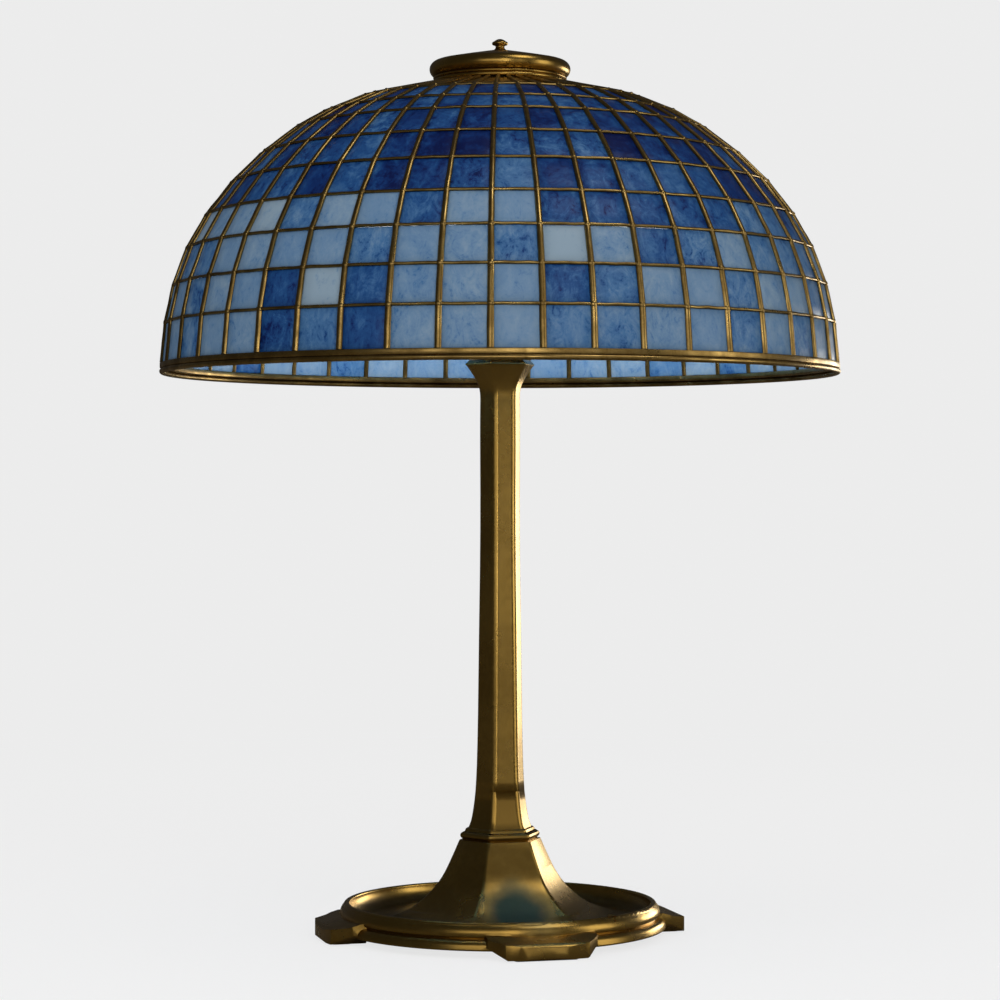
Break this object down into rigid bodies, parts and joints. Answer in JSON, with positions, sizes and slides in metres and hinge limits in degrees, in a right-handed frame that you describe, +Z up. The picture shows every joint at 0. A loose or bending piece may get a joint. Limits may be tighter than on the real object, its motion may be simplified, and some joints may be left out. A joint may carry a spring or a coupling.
{
  "type": "mosaic glass table lamp",
  "caption": "Table lamp with a domed shade of small flat glass tiles in brass cames, on a hexagonal bronze column and a round footed base.",
  "frame": {"origin": "on the lamp's axis, in the plane that the four feet stand on", "axes": "+Z up along the column; a foot and a flat of the column look along -Y, and the cord inlet is at the back"},
  "size_m": [0.4571, 0.4572, 0.6038],
  "materials": {
    "antique_bronze": "cast, dark antique bronze patina, satin",
    "gilt_brass": "antique brass, satin",
    "solder_brass": "brass-coated solder, soft shine",
    "bright_brass": "plain turned brass",
    "zinc_steel": "zinc-plated steel",
    "copper_sleeve": "pressed copper alloy",
    "weight_iron": "rough cast",
    "pale_glass": "opalescent, streaky",
    "blue_glass": "opalescent, cobalt, mottled",
    "bulb_glass": "frosted",
    "porcelain": "glazed",
    "felt": "pressed felt",
    "black_plastic": "moulded",
    "wire_cover": "extruded"
  },
  "bodies": {
    "stand": {"base_casting": "antique_bronze", "foot_felts": "felt", "base_weight": "weight_iron", "weight_screws": "zinc_steel", "cord_bushing": "black_plastic", "pipe_washer": "zinc_steel", "pipe_nut": "bright_brass", "column_collar": "antique_bronze", "column": "antique_bronze", "capital_plate": "antique_bronze", "lamp_pipe": "zinc_steel", "riser_wires": "wire_cover", "wire_nuts": "black_plastic", "cluster_body": "gilt_brass", "cluster_cover": "gilt_brass", "pipe_locknuts": "bright_brass", "riser_sleeve": "gilt_brass", "shade_spider": "gilt_brass", "top_stud": "bright_brass", "socket_nipples": "bright_brass", "socket_leads": "wire_cover", "socket_cap_1": "gilt_brass", "socket_shell_1": "gilt_brass", "socket_insulator_1": "porcelain", "screw_shell_1": "copper_sleeve", "socket_cap_2": "gilt_brass", "socket_shell_2": "gilt_brass", "socket_insulator_2": "porcelain", "screw_shell_2": "copper_sleeve", "socket_cap_3": "gilt_brass", "socket_shell_3": "gilt_brass", "socket_insulator_3": "porcelain", "screw_shell_3": "copper_sleeve"},
    "shade": {"glass_course_1": "pale_glass", "glass_course_2": "pale_glass", "glass_course_3": "pale_glass", "glass_course_4": "blue_glass", "glass_course_5": "blue_glass", "glass_course_6": "blue_glass", "glass_course_7": "blue_glass", "glass_course_8": "blue_glass", "glass_course_9": "blue_glass", "cross_bars": "solder_brass", "rib_cames": "solder_brass", "rim_band": "solder_brass", "rim_bead": "solder_brass", "crown_plate": "gilt_brass", "aperture_ring": "bright_brass"},
    "cap": {"heat_cap": "antique_bronze"},
    "finial_knob": {"finial": "antique_bronze"},
    "key_1": {"turn_key_1": "black_plastic"},
    "bulb_1": {"bulb_base_1": "bright_brass", "bulb_glass_1": "bulb_glass"},
    "key_2": {"turn_key_2": "black_plastic"},
    "bulb_2": {"bulb_base_2": "bright_brass", "bulb_glass_2": "bulb_glass"},
    "key_3": {"turn_key_3": "black_plastic"},
    "bulb_3": {"bulb_base_3": "bright_brass", "bulb_glass_3": "bulb_glass"}
  },
  "joints": [
    {"name": "shade_lift", "type": "slide", "parent": "stand", "child": "shade", "axis": [0, 0, 1], "range_m": [0, 0.24]},
    {"name": "cap_lift", "type": "slide", "parent": "shade", "child": "cap", "axis": [0, 0, 1], "range_m": [0, 0.05]},
    {"name": "finial_turn", "type": "hinge", "parent": "cap", "child": "finial_knob", "pos_m": [0, 0, 0.6], "axis": [0, 0, 1], "continuous": true},
    {"name": "key_1_turn", "type": "hinge", "parent": "stand", "child": "key_1", "pos_m": [0.04044, -0.02335, 0.43469], "axis": [0.5, 0.866, 0], "continuous": true},
    {"name": "bulb_1_turn", "type": "hinge", "parent": "stand", "child": "bulb_1", "pos_m": [0.05321, -0.03072, 0.44502], "axis": [0.7094, -0.4096, 0.5736], "continuous": true},
    {"name": "key_2_turn", "type": "hinge", "parent": "stand", "child": "key_2", "pos_m": [0, 0.04669, 0.43469], "axis": [-1, 0, 0], "continuous": true},
    {"name": "bulb_2_turn", "type": "hinge", "parent": "stand", "child": "bulb_2", "pos_m": [0, 0.06144, 0.44502], "axis": [0, 0.8192, 0.5736], "continuous": true},
    {"name": "key_3_turn", "type": "hinge", "parent": "stand", "child": "key_3", "pos_m": [-0.04044, -0.02335, 0.43469], "axis": [0.5, -0.866, 0], "continuous": true},
    {"name": "bulb_3_turn", "type": "hinge", "parent": "stand", "child": "bulb_3", "pos_m": [-0.05321, -0.03072, 0.44502], "axis": [-0.7094, -0.4096, 0.5736], "continuous": true}
  ]
}
